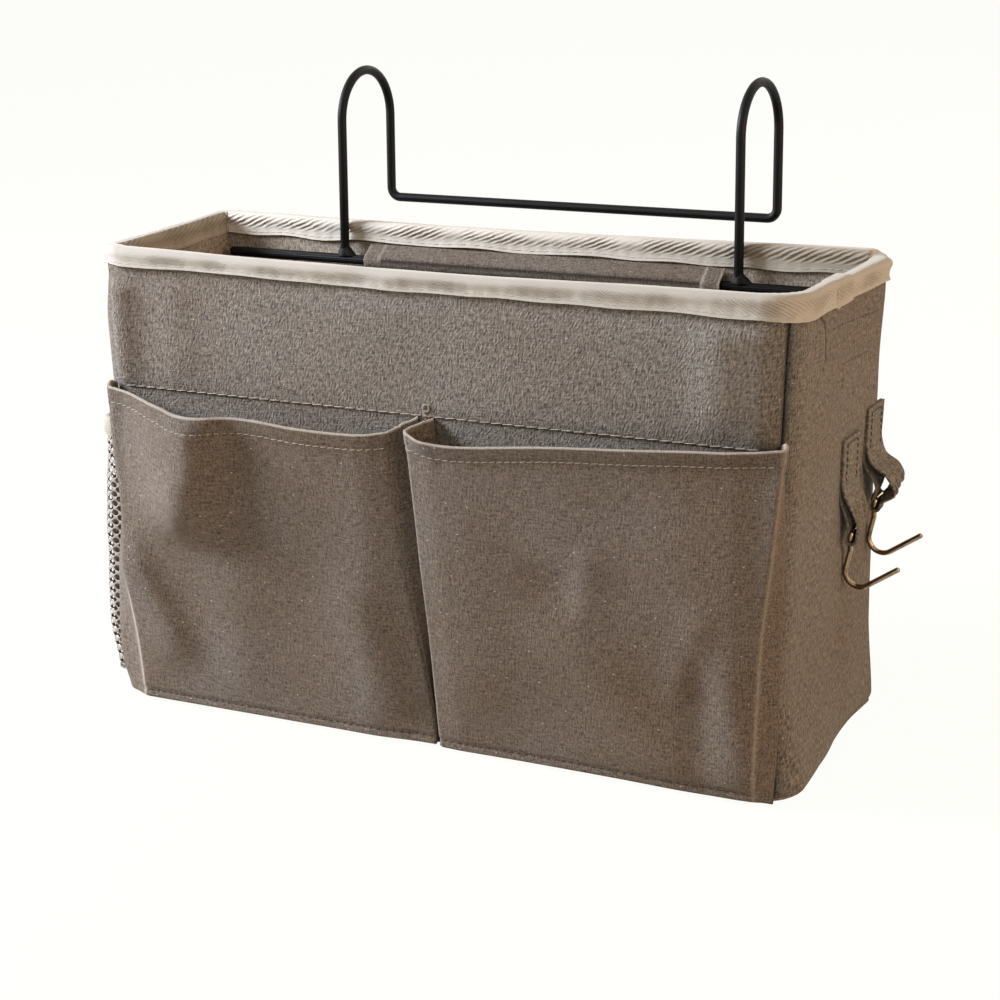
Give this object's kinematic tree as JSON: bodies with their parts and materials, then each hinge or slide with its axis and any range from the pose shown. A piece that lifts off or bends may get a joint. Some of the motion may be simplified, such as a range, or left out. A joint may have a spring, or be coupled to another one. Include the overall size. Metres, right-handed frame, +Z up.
{
  "type": "bedside caddy",
  "caption": "Open-top canvas bedside caddy with pleated front pockets, a net side pocket, wire hooks on side straps and a wire hanger that hooks over a bed rail.",
  "frame": {"origin": "centre of the flat underside of the bag, on the surface it stands on", "axes": "+X to the right seen from the front, +Y to the back where the hanger is, +Z up"},
  "size_m": [0.3477, 0.1548, 0.2625],
  "materials": {
    "canvas": "coarse taupe canvas, matte",
    "lining": "taupe lining cloth, matte",
    "board": "grey board, hidden in the walls",
    "binding_tape": "cream herringbone tape, matte",
    "net": "pale polyester net",
    "fastening_tape": "hook and loop tape",
    "black_wire": "black powder coat, satin",
    "hook_wire": "antique bronze plated wire, polished"
  },
  "bodies": {
    "caddy": {"front_panel": "canvas", "front_board": "board", "front_lining": "lining", "back_panel": "canvas", "back_board": "board", "back_lining": "lining", "left_panel": "canvas", "left_board": "board", "left_lining": "lining", "right_panel": "canvas", "right_board": "board", "right_lining": "lining", "bottom_panel": "canvas", "base_board": "board", "bottom_lining": "lining", "rim_binding": "binding_tape", "front_pocket_left": "canvas", "front_pocket_right": "canvas", "net_pocket_front_side": "net", "net_pocket_face": "net", "net_pocket_rear_side": "net", "net_pocket_bottom": "canvas", "net_pocket_binding": "binding_tape", "fastener_loops": "fastening_tape", "front_hook_strap": "canvas", "rear_hook_strap": "canvas"},
    "hanger": {"hanger_base_bar": "black_wire", "hanger_hook_frame": "black_wire", "hanger_weld_left": "black_wire", "hanger_weld_right": "black_wire"},
    "flap": {"hanger_flap": "canvas", "fastener_hooks": "fastening_tape"},
    "front_hook": {"front_hook": "hook_wire"},
    "rear_hook": {"rear_hook": "hook_wire"}
  },
  "joints": [
    {"name": "hanger_swing", "type": "hinge", "parent": "caddy", "child": "hanger", "pos_m": [0.0045, 0.04178, 0.17975], "axis": [1, 0, 0], "range_deg": [0, 90]},
    {"name": "flap_open", "type": "hinge", "parent": "caddy", "child": "flap", "pos_m": [0.0045, 0.04546, 0.18647], "axis": [-1, 0, 0], "range_deg": [0, 110]},
    {"name": "front_hook_swing", "type": "hinge", "parent": "caddy", "child": "front_hook", "pos_m": [0.16119, 0.012, 0.09081], "axis": [0, -1, 0], "range_deg": [0, 100]},
    {"name": "rear_hook_swing", "type": "hinge", "parent": "caddy", "child": "rear_hook", "pos_m": [0.16144, 0.04, 0.09681], "axis": [0, -1, 0], "range_deg": [0, 100]}
  ]
}
